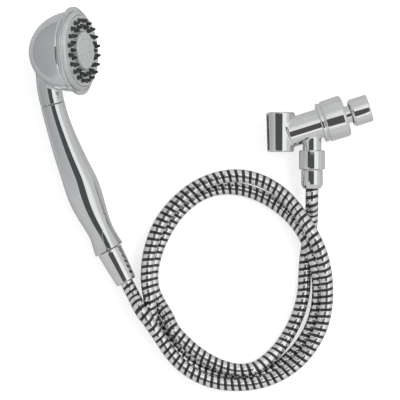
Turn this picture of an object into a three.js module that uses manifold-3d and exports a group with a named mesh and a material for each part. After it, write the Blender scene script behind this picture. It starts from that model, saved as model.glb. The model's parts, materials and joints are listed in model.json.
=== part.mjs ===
// Handheld bath sprayer: a handset with a turning spray dial, a coiled hose,
// and a shower-arm bracket with a cradle and a ball joint. Millimetres, +Z up.
// The set lies on a flat surface at Z = 0, under the middle of the whole set.
import * as THREE from 'three';
import { mergeVertices } from 'three/addons/utils/BufferGeometryUtils.js';
import Module from 'manifold-3d';

const wasm = await Module();
wasm.setup();

// ---- driving dimensions (mm, degrees) ----
const SHIFT = [-1.67, -0.91, -0.49]; // moves the set so that the origin is under its middle
const GAP = 0.35;                    // clearance between neighbouring pieces
const FINENESS = 0.7;                // share of the nominal facet count on turned pieces
const MIN_FACETS = 6;

// hose
const HOSE_OD = 13.0;
const JACKET_WALL = 1.0;
const TUBE_OD = 9.9;
const TUBE_WALL = 1.0;
const HOSE_SIDES = 8;
const TUBE_SIDES = 6;
const HOSE_STEPS = 80;
const HOSE_INSET = 9;                // hose start, along the nut from the handset's hose end
const HOSE_TOP_Y = 26;               // hose end inside the bracket's sleeve
const STEM_BORE_R = 2.3;
const STEM_TAIL_R = 3.1;

// handset: local +Y runs from the hose end to the head, local +X is forwards
const HAND_END = [-73.6, -82.1, 18]; // hose end of the handset
const HAND_TURN = 12.8;              // handset's lean from +Y towards -X
const HAND_ROLL = 25;                // roll that lifts the spray face towards +Z
const HAND_PITCH = 6.3;              // rise from the hose end to the head
const HANDLE_WALL = 2.4;
const HANDLE_SIDES = 18;
const BORE_SIDES = 12;
const NUT_LEN = 36.2;
const NUT_TOP_R = 12.9;
const NUT_END_R = 10.4;
const NUT_LEAN = 16.7;               // nut axis behind the handset's long axis

// head: local +X is the spray direction, origin on the bezel's back plane
const HEAD_AT = [1.3, 236.8, 0];     // head origin in the handset's frame
const HEAD_DIP = 6.3;                // spray axis, from forwards towards the hose end
const DOME_R = 40;
const DOME_DEPTH = 46.4;
const DOME_WALL = 2.2;
const DIVERTER_INSET = DOME_WALL + 1.1; // diverter plate's rim inside the dome's outside
const DIVERTER_HOLE_RING_R = 14;
const BEZEL_R = 41.3;
const BEZEL_LOBE_R = 44.1;
const BEZEL_FRONT = 4.9;
const LOBE_HALF_WIDTH = 34;          // across the lobes' long axis, before the bevel
const LOBE_BEVEL = 1.2;              // outwards
const LOBE_BEVEL_DEPTH = 1.1;        // along the spray axis
const FACE_R = 35.8;
const CENTRE_R = 18.6;
const NOZZLE_RINGS = [
  { radius: 30.2, count: 20, firstAngle: 0 },
  { radius: 24.2, count: 20, firstAngle: 9 },
];
const NOZZLE_BASE_R = 2.3;
const NOZZLE_TIP_R = 1.1;
const NOZZLE_TIP = 14.0;

// bracket: distances along the tube axis are from BRACKET_AT
const BRACKET_Z = 22;                // height of the tube, outlet and cradle axes
const BRACKET_AT = [107, 72.6, BRACKET_Z];
const BRACKET_ANGLE = 17.5;          // tube axis, from +X towards +Y
const BRACKET_TUBE_R = 14.6;
const COLLAR_R = 20.8;
const BALL_X = 30;                   // ball centre along the tube axis
const BALL_R = 13;
const CUP_CLEARANCE = 0.5;
const ARM_NUT_X = BALL_X + 15.2;
const ARM_NUT_END = ARM_NUT_X + 20.5;
const ARM_NUT_R = 14.0;
const OUTLET_AT = [112, 0, BRACKET_Z];
const CRADLE_AT = [80, 0, BRACKET_Z];
const CRADLE_START = 48.3;
const CRADLE_END = 88;
const CRADLE_R = 14.8;
const CRADLE_BORE_R = 11.4;
const CRADLE_SLOT = 12.5;            // slot width
const CRADLE_SLOT_Y = 68;            // slot's middle along +Y
const CRADLE_TURN = 9;               // slot's direction, from -X towards +Z

// Hose centre line [x, y, z] from the handset's nut to the bracket's sleeve.
const HOSE_POINTS = [
  HAND_END, [-66.2, -96.1, 20.5], [-59.0, -110.2, 27.2], [-49.4, -123.4, 26.2],
  [-40.5, -136.6, 22.5], [-31.7, -150.0, 21.3], [-21.4, -162.2, 21.0], [-8.9, -172.0, 21.0],
  [5.3, -179.2, 21.0], [20.7, -183.4, 21.0], [36.6, -184.6, 21.0], [52.6, -183.5, 21.0],
  [68.1, -179.6, 21.0], [82.6, -173.1, 21.0], [95.7, -164.0, 21.0], [106.8, -152.5, 21.0],
  [115.7, -139.2, 21.0], [122.1, -124.6, 21.1], [125.6, -109.1, 21.5], [126.7, -93.2, 22.9],
  [125.8, -77.4, 25.8], [123.1, -62.2, 30.0], [118.3, -47.3, 33.0], [111.4, -32.9, 32.7],
  [103.2, -19.6, 29.6], [94.6, -7.1, 25.6], [84.2, 4.3, 22.6], [71.5, 13.9, 21.3],
  [57.0, 20.7, 21.0], [41.5, 24.1, 21.0], [25.6, 23.6, 21.0], [10.1, 19.6, 21.0],
  [-4.3, 12.8, 21.0], [-17.2, 3.4, 21.0], [-28.5, -7.9, 21.0], [-38.1, -20.7, 21.0],
  [-45.1, -35.0, 21.0], [-49.9, -50.3, 21.0], [-52.4, -66.0, 21.0], [-52.7, -82.0, 21.0],
  [-50.5, -97.7, 20.2], [-48.7, -113.1, 15.5], [-42.4, -126.9, 9.3], [-33.0, -139.6, 7.3],
  [-23.3, -152.2, 7.2], [-11.6, -163.0, 7.2], [2.4, -170.7, 7.2], [17.6, -175.4, 7.2],
  [33.4, -177.5, 7.2], [49.5, -177.3, 7.2], [65.3, -174.1, 7.2], [79.7, -166.9, 7.2],
  [91.8, -156.4, 7.2], [102.2, -144.2, 7.2], [110.3, -130.4, 7.2], [115.8, -115.5, 7.2],
  [118.6, -99.8, 8.1], [118.7, -84.1, 11.0], [116.9, -68.8, 15.7], [112.8, -53.9, 20.2],
  [106.3, -39.2, 21.0], [98.5, -26.1, 15.9], [88.8, -14.9, 10.5], [76.6, -4.8, 7.9],
  [62.9, 3.3, 7.2], [48.0, 9.1, 7.2], [32.3, 11.9, 7.2], [16.4, 10.9, 7.2],
  [1.4, 5.7, 7.2], [-11.9, -3.1, 7.2], [-23.2, -14.4, 7.2], [-32.3, -27.5, 7.2],
  [-39.6, -41.7, 7.2], [-45.1, -56.8, 7.2], [-48.0, -72.5, 7.2], [-47.2, -88.3, 7.2],
  [-41.3, -102.3, 7.2], [-33.3, -115.5, 12.4], [-26.5, -129.3, 17.4], [-16.0, -141.2, 18.7],
  [-3.9, -151.7, 19.0], [9.4, -160.5, 19.1], [24.0, -167.0, 19.1], [39.4, -170.1, 19.2],
  [54.2, -168.2, 18.5], [66.9, -160.7, 14.8], [78.2, -150.0, 9.9], [87.5, -137.2, 7.6],
  [95.1, -123.1, 7.2], [100.7, -108.2, 7.2], [104.0, -92.5, 7.2], [105.1, -76.6, 7.2],
  [106.1, -60.6, 7.2], [108.4, -44.7, 7.2], [111.0, -28.9, 7.6], [112.0, -13.5, 12.0],
  [111.9, -0.1, 20.5], [112.0, 11.4, 22.0],
];

// ---- materials ----
const standard = (settings) => new THREE.MeshStandardMaterial(settings);
const chrome = () => standard({ color: 0xc9cdd0, roughness: 0.12, metalness: 1.0 });
const paleGrey = () => standard({ color: 0xc2c5c0, roughness: 0.4, metalness: 0.3 });
const darkRubber = () => standard({ color: 0x33373a, roughness: 0.7, metalness: 0.0 });
const blackRubber = () => standard({ color: 0x1a1a1a, roughness: 0.8, metalness: 0.0 });
const whitePlastic = () => standard({ color: 0xe4e4e0, roughness: 0.5, metalness: 0.0 });
const brass = () => standard({ color: 0xb9a05a, roughness: 0.35, metalness: 0.9 });
const jacketGrey = () => standard({ color: 0x8d908f, roughness: 0.35, metalness: 0.3 });
const steel = () => standard({ color: 0x9a9da0, roughness: 0.35, metalness: 0.9 });

// ---- solids ----
const rad = (degrees) => (degrees * Math.PI) / 180;

// A closed surface as a solid, with its faces turned outwards.
function solid(geometry) {
  geometry.deleteAttribute('normal');
  geometry.deleteAttribute('uv');
  const merged = mergeVertices(geometry, 1e-4);
  const { position } = merged.attributes;
  const index = merged.index.array;
  const corner = (k) => new THREE.Vector3().fromBufferAttribute(position, k);
  const triangles = [];
  let volume = 0; // six times the signed volume
  for (let i = 0; i < index.length; i += 3) {
    const [a, b, c] = [index[i], index[i + 1], index[i + 2]];
    if (a === b || b === c || a === c) continue;
    triangles.push(a, b, c);
    volume += corner(a).dot(corner(b).cross(corner(c)));
  }
  if (volume < 0) {
    for (let i = 0; i < triangles.length; i += 3) {
      [triangles[i], triangles[i + 1]] = [triangles[i + 1], triangles[i]];
    }
  }
  return new wasm.Manifold(new wasm.Mesh({
    numProp: 3,
    vertProperties: new Float32Array(position.array),
    triVerts: new Uint32Array(triangles),
  }));
}

function geometryOf(shape) {
  const mesh = shape.getMesh();
  const geometry = new THREE.BufferGeometry();
  const positions = new Float32Array(mesh.vertProperties);
  geometry.setAttribute('position', new THREE.BufferAttribute(positions, 3));
  geometry.setIndex(new THREE.BufferAttribute(new Uint32Array(mesh.triVerts), 1));
  geometry.computeVertexNormals();
  return geometry;
}

function piece(parent, name, shape, material) {
  const mesh = new THREE.Mesh(geometryOf(shape), material);
  mesh.name = name;
  parent.add(mesh);
}

// A group at an origin, turned about Z.
function addFrame(parent, origin, turn = 0) {
  const group = new THREE.Group();
  group.position.set(...origin);
  group.rotation.z = rad(turn);
  parent.add(group);
  return group;
}

// A solid moved from such a frame into its parent's.
function placed(shape, origin, turn) {
  const matrix = new THREE.Matrix4().makeRotationZ(rad(turn)).setPosition(...origin);
  return shape.transform(Array.from(matrix.elements));
}

// Turned solid about +Y. Points are [radius, y]; a profile off the axis closes on itself.
function turned(points, segments) {
  const outline = points.map(([radius, y]) => new THREE.Vector2(radius, y));
  if (points[0][0] > 1e-6 || points.at(-1)[0] > 1e-6) outline.push(outline[0].clone());
  const facets = Math.max(MIN_FACETS, Math.round(segments * FINENESS));
  return solid(new THREE.LatheGeometry(outline, facets));
}

// Turned solid about +X: points are [radius, x].
const turnedX = (points, segments) => turned(points, segments).rotate([0, 0, -90]);

const ringOutline = (inner, outer, from, to) => [
  [inner, from], [outer, from], [outer, to], [inner, to],
];
const ringX = (inner, outer, from, to, segments) =>
  turnedX(ringOutline(inner, outer, from, to), segments);
const ringY = (inner, outer, from, to, segments) =>
  turned(ringOutline(inner, outer, from, to), segments);
const discX = (radius, from, to, segments) => ringX(0, radius, from, to, segments);
const discY = (radius, from, to, segments) => ringY(0, radius, from, to, segments);

// Outline of a six-sided cord, as [radius, distance along the axis].
const cordOutline = (ringR, cordR, along) => Array.from({ length: 6 }, (_, i) => {
  const angle = (i / 6) * 2 * Math.PI;
  return [ringR + cordR * Math.cos(angle), along + cordR * Math.sin(angle)];
});

// Offset across the X axis to a point on a circle about it.
const aroundX = (radius, degrees) => [
  0, radius * Math.cos(rad(degrees)), radius * Math.sin(rad(degrees)),
];

const ellipse = (halfX, halfY, count) => Array.from({ length: count }, (_, k) => {
  const angle = (k / count) * 2 * Math.PI;
  return new THREE.Vector2(halfX * Math.cos(angle), halfY * Math.sin(angle));
});

// Skin over round sections { centre, tangent, radius }, all bending in the XY plane.
function loft(sections, sides) {
  const vertices = [];
  const index = [];
  for (const { centre, tangent, radius } of sections) {
    const across = new THREE.Vector3(-tangent.y, tangent.x, 0).normalize();
    for (const offset of ellipse(radius, radius, sides)) {
      const vertex = centre.clone().addScaledVector(across, offset.x);
      vertices.push(vertex.x, vertex.y, vertex.z + offset.y);
    }
  }
  const lastRing = (sections.length - 1) * sides;
  for (let ring = 0; ring < lastRing; ring += sides) {
    for (let k = 0; k < sides; k++) {
      const a = ring + k;
      const b = ring + ((k + 1) % sides);
      index.push(a, b, b + sides, a, b + sides, a + sides);
    }
  }
  const startCap = vertices.length / 3;
  const endCap = startCap + 1;
  vertices.push(...sections[0].centre, ...sections.at(-1).centre);
  for (let k = 0; k < sides; k++) {
    const next = (k + 1) % sides;
    index.push(startCap, next, k, endCap, lastRing + k, lastRing + next);
  }
  const geometry = new THREE.BufferGeometry();
  geometry.setAttribute('position', new THREE.Float32BufferAttribute(vertices, 3));
  geometry.setIndex(index);
  return solid(geometry);
}

// Loft sections for a line of [x, y, radius] stations. The wall is taken off each radius,
// and both ends are extended. A foot direction overrides the first two tangents.
function sectionsOf(line, { wall = 0, extend = 0, footDirection = null } = {}) {
  const last = line.length - 1;
  return line.map(([x, y, radius], i) => {
    const before = line[Math.max(0, i - 1)];
    const after = line[Math.min(last, i + 1)];
    const tangent = new THREE.Vector3(after[0] - before[0], after[1] - before[1], 0).normalize();
    if (footDirection && i < 2) tangent.copy(footDirection);
    const centre = new THREE.Vector3(x, y, 0);
    if (i === 0) centre.addScaledVector(tangent, -extend);
    if (i === last) centre.addScaledVector(tangent, extend);
    return { centre, tangent, radius: radius - wall };
  });
}

// Round pipe along a curve.
function sweep(curve, outer, inner, steps, sides) {
  const shape = new THREE.Shape(ellipse(outer, outer, sides));
  shape.holes.push(new THREE.Path(ellipse(inner, inner, sides)));
  const options = { steps, extrudePath: curve, bevelEnabled: false };
  return solid(new THREE.ExtrudeGeometry(shape, options));
}

const smoothCurve = (points) => new THREE.CatmullRomCurve3(points, false, 'centripetal');

// Brass hose end about +Y: a thin tail, a body and a flange, each starting at its own y.
function hoseStem({ tailY, bodyY, bodyR, flangeY, flangeR, topY }) {
  return turned([
    [STEM_BORE_R, tailY], [STEM_TAIL_R, tailY], [STEM_TAIL_R, bodyY], [bodyR, bodyY],
    [bodyR, flangeY], [flangeR, flangeY], [flangeR, topY], [STEM_BORE_R, topY],
  ], 18);
}

const set = new THREE.Group();
set.position.set(...SHIFT);

// ================= hose =================
const handBasis = (() => {
  const [turn, pitch, roll] = [HAND_TURN, HAND_PITCH, HAND_ROLL].map(rad);
  const along = new THREE.Vector3(
    -Math.sin(turn) * Math.cos(pitch), Math.cos(turn) * Math.cos(pitch), Math.sin(pitch),
  );
  const side = new THREE.Vector3(Math.cos(turn), Math.sin(turn), 0);
  const upwards = side.clone().cross(along);
  const mix = (sideShare, upShare) =>
    side.clone().multiplyScalar(sideShare).addScaledVector(upwards, upShare);
  const forwards = mix(Math.cos(roll), Math.sin(roll));
  const across = mix(-Math.sin(roll), Math.cos(roll));
  return new THREE.Matrix4().makeBasis(forwards, along, across);
})();

// direction of the nut and of the handle's foot, in the handset's frame
const footAxis = new THREE.Vector3(-Math.sin(rad(NUT_LEAN)), Math.cos(rad(NUT_LEAN)), 0);

function addHose() {
  const nutAxis = footAxis.clone().transformDirection(handBasis);
  const start = new THREE.Vector3(...HAND_END).addScaledVector(nutAxis, HOSE_INSET);
  const end = new THREE.Vector3(OUTLET_AT[0], HOSE_TOP_Y, BRACKET_Z);
  const middle = HOSE_POINTS.map((point) => new THREE.Vector3(...point));
  const line = smoothCurve([start, ...middle, end]);
  const pipe = (diameter, wall, sides) =>
    sweep(line, diameter / 2, diameter / 2 - wall, HOSE_STEPS, sides);
  piece(set, 'hose_jacket', pipe(HOSE_OD, JACKET_WALL, HOSE_SIDES), jacketGrey());
  piece(set, 'hose_inner_tube', pipe(TUBE_OD, TUBE_WALL, TUBE_SIDES), blackRubber());
}
addHose();

// ================= handset =================
const hand = addFrame(set, HAND_END);
hand.quaternion.setFromRotationMatrix(handBasis);

// -- pieces on the nut's own axis, +Y from the hose end --
function addHandleNut() {
  const nut = addFrame(hand, [0, 0, 0], NUT_LEAN);
  piece(nut, 'hose_nut_handle', turned([
    [7.4, 0], [9.4, 0], [NUT_END_R, 1.2],
    [NUT_TOP_R - 0.35, NUT_LEN - 2.2], [NUT_TOP_R, NUT_LEN - 1.6],
    [NUT_TOP_R, NUT_LEN - 0.5], [NUT_TOP_R - 0.5, NUT_LEN],
    [10.6, NUT_LEN], [10.6, 20], [7.4, 20],
  ], 28), chrome());
  piece(nut, 'hose_stem_handle', hoseStem({
    tailY: 4, bodyY: 13, bodyR: 6.6, flangeY: 20.4, flangeR: 10.0, topY: 22.2,
  }), brass());
  piece(nut, 'hose_washer_handle', ringY(5.2, 9.9, 22.5, 24.4, 18), blackRubber());
  piece(nut, 'handle_thread_end', turned([
    [5.2, 24.7], [9.6, 24.7], [10.2, 25.3], [10.2, 35.2], [8.6, 36.6],
    [8.6, 47], [6.4, 47], [6.4, 36], [5.2, 36],
  ], 20), brass());
  piece(nut, 'flow_restrictor', ringY(1.6, 6.0, 36.4, 38.4, 16), whitePlastic());
}
addHandleNut();

// -- handle and neck, bending in the local XY plane --
const alongFoot = (distance) => [footAxis.x * distance, footAxis.y * distance];
const FOOT_START = NUT_LEN + GAP;

// [x, y, radius] of the handle's outside, from the flared foot up to the neck
const HANDLE_LINE = [
  [...alongFoot(FOOT_START), 15.2], [...alongFoot(FOOT_START + 2.6), 15.0],
  [-13.2, 46.8, 13.6], [-15.0, 54.5, 13.0], [-18.1, 66.5, 14.2], [-21.0, 79.3, 16.0],
  [-23.1, 92.0, 17.3], [-24.8, 104.7, 17.3], [-27.1, 117.4, 16.2], [-29.5, 130.2, 15.2],
  [-31.6, 142.9, 14.3], [-33.6, 158.0, 13.2], [-34.8, 170.0, 12.5], [-35.6, 181.0, 12.2],
  [-35.76, 189.4, 12.1],
];
// [x, y, radius] of the neck's outside, up into the dome
const NECK_LINE = [
  [-35.78, 190.0, 12.1], [-35.85, 196.0, 12.1], [-35.3, 206.0, 12.2],
  [-33.8, 216.0, 12.4], [-31.0, 228.0, 12.6],
];
// [x, y, radius] of the neck's bore
const NECK_BORE_LINE = [[-35.75, 189, 8.4], [-35.5, 200, 8.8], [-32, 222, 9.2]];
// [x, y] of the water tube, from the threaded end to the head
const WATER_TUBE_LINE = [
  alongFoot(39.4), alongFoot(47), [-18.1, 66.5], [-23.1, 92], [-28, 122], [-33, 153],
  [-35.4, 180], [-35.4, 200], [-33.5, 213], [-27, 225], [-18, 232],
];

function handleGrip() {
  const outside = sectionsOf(HANDLE_LINE, { footDirection: footAxis });
  const inside = sectionsOf(HANDLE_LINE, {
    wall: HANDLE_WALL, extend: 1, footDirection: footAxis,
  });
  return loft(outside, HANDLE_SIDES).subtract(loft(inside, BORE_SIDES));
}
piece(hand, 'handle_grip', handleGrip(), chrome());

// Quarter ellipse from the dome's rim back to its pole, as [radius, x].
const domeArc = (radius, depth, steps) => Array.from({ length: steps + 1 }, (_, i) => {
  const angle = rad((90 * i) / steps);
  return [i === steps ? 0 : radius * Math.cos(angle), -depth * Math.sin(angle)];
});

// dome and neck in one, hollow and open at the front
function headShell() {
  const insideR = DOME_R - DOME_WALL;
  const insideArc = domeArc(insideR, DOME_DEPTH - DOME_WALL, 6);
  const outside = turnedX([[0, 0], ...domeArc(DOME_R, DOME_DEPTH, 8)], 36);
  const inside = turnedX([[0, 1], [insideR, 1], ...insideArc], 34);
  return placed(outside, HEAD_AT, -HEAD_DIP)
    .add(loft(sectionsOf(NECK_LINE), HANDLE_SIDES))
    .subtract(placed(inside, HEAD_AT, -HEAD_DIP))
    .subtract(loft(sectionsOf(NECK_BORE_LINE), BORE_SIDES));
}
piece(hand, 'head_shell', headShell(), chrome());

const waterLine = smoothCurve(WATER_TUBE_LINE.map(([x, y]) => new THREE.Vector3(x, y, 0)));
piece(hand, 'handle_water_tube', sweep(waterLine, 4.6, 3.3, 14, 8), whitePlastic());

const neckRing = turned(cordOutline(6.7, 1.4, 0), 20).translate([-35.6, 192.0, 0]);
piece(hand, 'neck_o_ring', neckRing, blackRubber());

// -- head internals and the spray dial, in the head's frame --
const head = addFrame(hand, HEAD_AT, -HEAD_DIP);

// disc with a centre hole and three holes round it, trimmed to the dome's inner curve
function diverterPlate() {
  const radius = DOME_R - DIVERTER_INSET;
  let plate = discX(radius, -4.6, -0.4, 34).subtract(discX(2.6, -6, 6, 12));
  for (const angle of [30, 150, 270]) {
    const hole = discX(3, -6, 2, 10).translate(aroundX(DIVERTER_HOLE_RING_R, angle));
    plate = plate.subtract(hole);
  }
  const arc = domeArc(radius, DOME_DEPTH - DIVERTER_INSET, 8);
  return plate.intersect(turnedX([[0, 1], ...arc], 34));
}
piece(head, 'diverter_plate', diverterPlate(), whitePlastic());

piece(head, 'dial_hub_screw', turnedX([
  [0, -8], [4.4, -8], [4.4, -4.95], [2.2, -4.95], [2.2, 5.0], [0, 5.0],
], 14), steel());

// a rounded ring with a finger lobe at each end of its diameter along the head's Y
function dialBezel() {
  const ring = turnedX([
    [38.0, GAP], [BEZEL_R - 0.8, GAP], [BEZEL_R, GAP + 0.8], [BEZEL_R, BEZEL_FRONT - 0.4],
    [BEZEL_R - 0.4, BEZEL_FRONT], [40.2, BEZEL_FRONT], [40.2, 4.0], [38.0, 4.0],
  ], 40);
  const outline = ellipse(BEZEL_LOBE_R - LOBE_BEVEL, LOBE_HALF_WIDTH, 32);
  // extruded along +Z with its long axis on X, then turned to +X with its long axis on Y
  const lobes = solid(new THREE.ExtrudeGeometry(new THREE.Shape(outline), {
    depth: 2.5,
    bevelEnabled: true,
    bevelThickness: LOBE_BEVEL_DEPTH,
    bevelSize: LOBE_BEVEL,
    bevelSegments: 1,
  })).rotate([0, 0, 90]).rotate([0, 90, 0]).translate([GAP + LOBE_BEVEL_DEPTH, 0, 0]);
  return ring.add(lobes.subtract(discX(40.35, -5, 15, 40)));
}
piece(head, 'dial_bezel', dialBezel(), chrome());

// the nozzle mat and the face plate share the nozzle layout
const nozzlePlaces = NOZZLE_RINGS.flatMap(({ radius, count, firstAngle }) =>
  Array.from({ length: count }, (_, k) => aroundX(radius, firstAngle + (360 * k) / count)));

function nozzleMat() {
  const nozzles = nozzlePlaces.map((place) => turnedX([
    [0, 5.6], [NOZZLE_BASE_R, 5.6], [NOZZLE_BASE_R, 9.4],
    [NOZZLE_TIP_R, NOZZLE_TIP], [0, NOZZLE_TIP],
  ], 8).translate(place));
  const web = ringX(CENTRE_R + 1.3, FACE_R - 0.6, 4.6, 6.4, 32);
  return wasm.Manifold.union([web, ...nozzles]);
}
piece(head, 'nozzle_mat', nozzleMat(), darkRubber());

function facePlate() {
  const holes = nozzlePlaces.map((place) =>
    discX(NOZZLE_BASE_R + 0.3, 4, 12, 8).translate(place));
  return turnedX([
    [CENTRE_R + 0.9, 6.9], [FACE_R - 0.1, 6.9], [FACE_R - 0.1, 4.35], [39.6, 4.35],
    [39.6, 5.0], [FACE_R + 0.6, 8.3], [FACE_R - 0.2, 9.0], [CENTRE_R + 0.9, 9.0],
  ], 36).subtract(wasm.Manifold.union(holes));
}
piece(head, 'face_plate', facePlate(), paleGrey());

piece(head, 'centre_disc', turnedX([
  [0, 5.4], [CENTRE_R + 0.5, 5.4], [CENTRE_R + 0.5, 12.4],
  [CENTRE_R - 0.3, 13.2], [8, 13.7], [0, 13.8],
], 28), paleGrey());
piece(head, 'dial_seal', turnedX(cordOutline(27.5, 1.2, 1.6), 26), blackRubber());

// ================= bracket =================
const bracket = addFrame(set, BRACKET_AT, BRACKET_ANGLE);

// -- casting, in the set's own axes: tube, slotted cradle and threaded outlet --
function bracketBody() {
  const onTube = (shape) => placed(shape, BRACKET_AT, BRACKET_ANGLE);
  const tube = onTube(discX(BRACKET_TUBE_R, -20, 19.4, 28));
  const tubeBore = onTube(discX(9.5, -4, 25, 20));
  const outlet = turned([
    [0, 36.4], [9.6, 36.4], [10.1, 36.9], [10.1, 47.4], [9.3, 48.2], [9.3, 68], [0, 68],
  ], 22).translate(OUTLET_AT);
  const outletBore = discY(6.2, 30, 74, 16).translate(OUTLET_AT);
  const cradle = turned([
    [0, CRADLE_START], [CRADLE_R - 1.7, CRADLE_START], [CRADLE_R - 1.0, CRADLE_START + 0.7],
    [CRADLE_R, CRADLE_END - 0.7], [CRADLE_R - 0.7, CRADLE_END], [0, CRADLE_END],
  ], 32).translate(CRADLE_AT);
  const cradleBore = turned([
    [0, CRADLE_START - 2], [CRADLE_BORE_R - 0.7, CRADLE_START - 2],
    [CRADLE_BORE_R + 0.4, CRADLE_END + 2], [0, CRADLE_END + 2],
  ], 28).translate(CRADLE_AT);
  const slot = solid(new THREE.BoxGeometry(30, 60, CRADLE_SLOT))
    .translate([-15, CRADLE_SLOT_Y, 0])
    .rotate([0, CRADLE_TURN, 0])
    .translate(CRADLE_AT);
  return tube.add(cradle).add(outlet)
    .subtract(cradleBore).subtract(slot).subtract(tubeBore).subtract(outletBore);
}
piece(set, 'bracket_body', bracketBody(), chrome());

// -- ball joint and arm nut, along the bracket tube's +X --
piece(bracket, 'collar_nut', turnedX([
  [15.0, 13.6], [18.6, 13.6], [19.8, 14.4], [19.8, 16.9], [19.1, 17.6], [19.1, 18.3],
  [COLLAR_R, 19.2], [COLLAR_R + 0.5, 38.6], [COLLAR_R - 1.6, 40.6], [12.8, 40.6],
  [12.4, 38.2], [13.9, 36.2], [16.9, 36.2], [16.9, 20.4], [15.0, 20.4],
], 36), chrome());

// rubber seat between the casting and the ball
piece(bracket, 'ball_washer', turnedX([
  [8.9, 19.8], [13.6, 19.8], [13.6, 22.4], [11.1, 22.4],
], 24), blackRubber());

// Arc about the ball's centre as [radius, x]; angles run from its widest part towards +X.
const ballArc = (radius, from, to, steps) => Array.from({ length: steps + 1 }, (_, i) => {
  const angle = rad(from + ((to - from) * i) / steps);
  return [radius * Math.cos(angle), BALL_X + radius * Math.sin(angle)];
});

// friction ring round the ball's widest part
piece(bracket, 'ball_cup', turnedX([
  ...ballArc(BALL_R + CUP_CLEARANCE, -30, 25, 5), [16.4, BALL_X + 5.6], [16.4, BALL_X - 6.6],
], 28), whitePlastic());

function ballStem() {
  const boreR = 5.4;
  const ball = ballArc(BALL_R, -52, 49, 7);
  return turnedX([
    [boreR, ball[0][1]], ...ball, [8.4, BALL_X + 11.2], [8.4, BALL_X + 18.2],
    [10.6, BALL_X + 18.4], [10.6, BALL_X + 20.4], [boreR, BALL_X + 20.4],
  ], 28);
}
piece(bracket, 'ball_stem', ballStem(), chrome());

piece(bracket, 'arm_nut', turnedX([
  [8.9, ARM_NUT_X], [10.9, ARM_NUT_X], [ARM_NUT_R - 0.4, ARM_NUT_X + 2.4],
  [ARM_NUT_R, ARM_NUT_X + 3.2], [ARM_NUT_R, ARM_NUT_END - 0.8],
  [ARM_NUT_R - 0.8, ARM_NUT_END], [11.0, ARM_NUT_END],
  [11.0, ARM_NUT_X + 2.9], [8.9, ARM_NUT_X + 2.9],
], 32), chrome());
piece(bracket, 'arm_washer', ringX(6, 10.6, BALL_X + 20.8, BALL_X + 22.8, 24), blackRubber());
piece(bracket, 'filter_screen', discX(10.4, BALL_X + 23.2, BALL_X + 24.0, 24), steel());

// -- hose end, about the set's +Y through the outlet --
function addOutletFittings() {
  const outlet = addFrame(set, OUTLET_AT);
  piece(outlet, 'hose_nut_bracket', turned([
    [8.0, 30.2], [12.3, 30.2], [13.1, 31.0], [13.1, 48.9], [12.3, 49.7],
    [10.5, 49.7], [10.5, 32.6], [8.0, 32.6],
  ], 28), chrome());
  piece(outlet, 'hose_washer_bracket', ringY(5.0, 9.9, 34.4, 36.1, 18), blackRubber());
  piece(outlet, 'hose_stem_bracket', hoseStem({
    tailY: 16, bodyY: 27.0, bodyR: 7.4, flangeY: 33.0, flangeR: 9.9, topY: 34.1,
  }), brass());
  piece(outlet, 'hose_sleeve_bracket', turned([
    [7.1, 11.2], [8.6, 11.2], [10.9, 15.4], [10.9, 29.2], [10.4, 29.8],
    [7.9, 29.8], [7.9, 26.6], [7.1, 26.6],
  ], 26), chrome());
}
addOutletFittings();

export default set;
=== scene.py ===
"""Looks of a handheld bath sprayer set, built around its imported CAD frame. Blender 4.5."""

import json
import math

import bmesh
import bpy
import numpy as np
from mathutils import Matrix, Vector

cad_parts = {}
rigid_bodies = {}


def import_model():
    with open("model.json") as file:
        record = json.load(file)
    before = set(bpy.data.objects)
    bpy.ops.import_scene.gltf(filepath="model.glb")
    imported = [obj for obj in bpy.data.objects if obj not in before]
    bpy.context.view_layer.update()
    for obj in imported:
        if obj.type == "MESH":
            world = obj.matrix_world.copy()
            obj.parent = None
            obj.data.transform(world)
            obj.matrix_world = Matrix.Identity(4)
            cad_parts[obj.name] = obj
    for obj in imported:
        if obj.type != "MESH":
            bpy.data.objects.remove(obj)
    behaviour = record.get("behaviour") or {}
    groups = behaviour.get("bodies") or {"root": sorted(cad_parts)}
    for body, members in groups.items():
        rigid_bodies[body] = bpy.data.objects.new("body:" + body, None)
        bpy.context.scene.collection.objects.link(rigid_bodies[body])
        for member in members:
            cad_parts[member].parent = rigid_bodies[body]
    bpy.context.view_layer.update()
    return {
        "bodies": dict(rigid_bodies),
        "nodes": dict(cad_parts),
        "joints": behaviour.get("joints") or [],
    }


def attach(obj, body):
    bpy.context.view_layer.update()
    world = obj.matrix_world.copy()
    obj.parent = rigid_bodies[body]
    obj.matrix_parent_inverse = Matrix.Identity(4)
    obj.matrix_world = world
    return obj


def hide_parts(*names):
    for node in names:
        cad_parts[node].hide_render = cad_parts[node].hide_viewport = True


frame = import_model()
J = {j["name"]: j for j in frame["joints"]}
MM = 0.001


# ---------------------------------------------------------------- frames
class Frame:
    """A local frame in millimetres: x runs along the main axis, y and z across it."""

    def __init__(self, origin_m, x, y):
        self.o = np.array(origin_m, float)
        self.x = np.array(x, float) / np.linalg.norm(x)
        y = np.array(y, float)
        y = y - self.x * (y @ self.x)
        self.y = y / np.linalg.norm(y)
        self.z = np.cross(self.x, self.y)
        self.m = np.c_[self.x, self.y, self.z]

    def world(self, p):
        return self.o + (np.asarray(p, float) * MM) @ self.m.T

    def local(self, w):
        return ((np.asarray(w, float) - self.o) @ self.m) / MM


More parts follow.
